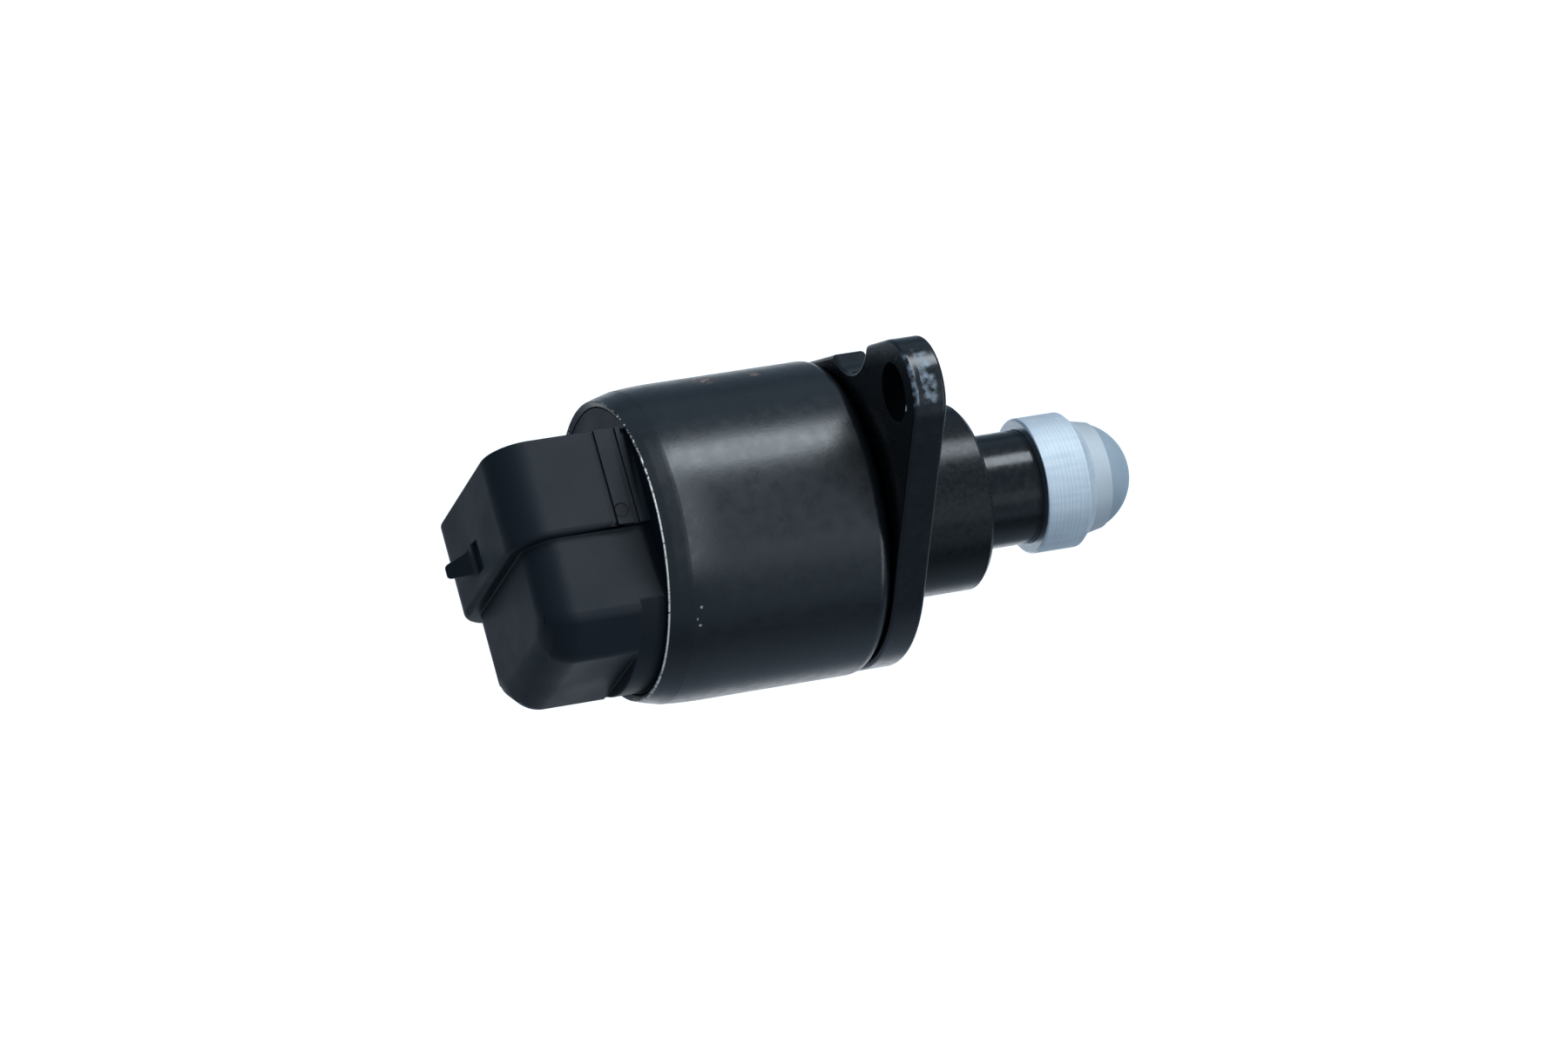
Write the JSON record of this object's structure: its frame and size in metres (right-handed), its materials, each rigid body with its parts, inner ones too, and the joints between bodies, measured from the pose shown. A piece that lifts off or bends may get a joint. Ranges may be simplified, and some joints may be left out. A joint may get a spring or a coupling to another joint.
{
  "type": "idle air control valve",
  "caption": "Idle air control valve: a black steel can with a bolt-on flange, a moulded plug socket and a bright domed pintle that a stepper motor screws in and out.",
  "frame": {"origin": "on the pintle's axis, in the plane of the flange face that seats on the throttle body", "axes": "+X along the pintle towards its tip, +Z along the line of the bolt ears, +Y roughly towards the plug"},
  "size_m": [0.0808, 0.036, 0.0668],
  "materials": {
    "flange_black": "black coated steel plate, glossy with scuffs",
    "can_black": "satin black coated drawn steel",
    "spigot_black": "satin black coated turned steel",
    "tube_black": "smooth black moulding",
    "pintle_aluminium": "turned, with fine tool marks",
    "screw_steel": "ground",
    "magnet_ferrite": "sintered",
    "rotor_plastic": "moulded",
    "nut_plastic": "moulded",
    "bush_bronze": "sintered",
    "stator_steel": "pressed sheet",
    "bobbin_plastic": "moulded",
    "coil_copper": "enamelled wire",
    "connector_plastic": "moulded, fine matt grain",
    "terminal_tinned": "tinned"
  },
  "bodies": {
    "housing": {"mounting_flange": "flange_black", "can": "can_black", "front_housing": "spigot_black", "front_bush": "bush_bronze", "rear_bush": "bush_bronze", "front_stator_cup": "stator_steel", "front_pole_plate": "stator_steel", "front_bobbin": "bobbin_plastic", "front_coil": "coil_copper", "rear_stator_cup": "stator_steel", "rear_pole_plate": "stator_steel", "rear_bobbin": "bobbin_plastic", "rear_coil": "coil_copper", "connector_housing": "connector_plastic", "terminal_1": "terminal_tinned", "terminal_2": "terminal_tinned", "terminal_3": "terminal_tinned", "terminal_4": "terminal_tinned"},
    "rotor": {"rotor_hub": "rotor_plastic", "rotor_magnet": "magnet_ferrite", "drive_nut": "nut_plastic"},
    "pintle": {"guide_tube": "tube_black", "pintle_head": "pintle_aluminium", "lead_screw": "screw_steel"}
  },
  "joints": [
    {"name": "rotor_spin", "type": "hinge", "parent": "housing", "child": "rotor", "pos_m": [0, 0, 0], "axis": [1, 0, 0], "range_deg": [-360, 2520]},
    {"name": "pintle_slide", "type": "slide", "parent": "housing", "child": "pintle", "axis": [1, 0, 0], "range_m": [-0.007, 0.001]}
  ],
  "couplings": [
    {"joint": "pintle_slide", "follows": "rotor_spin", "m_per_rad": -0.00015915}
  ]
}
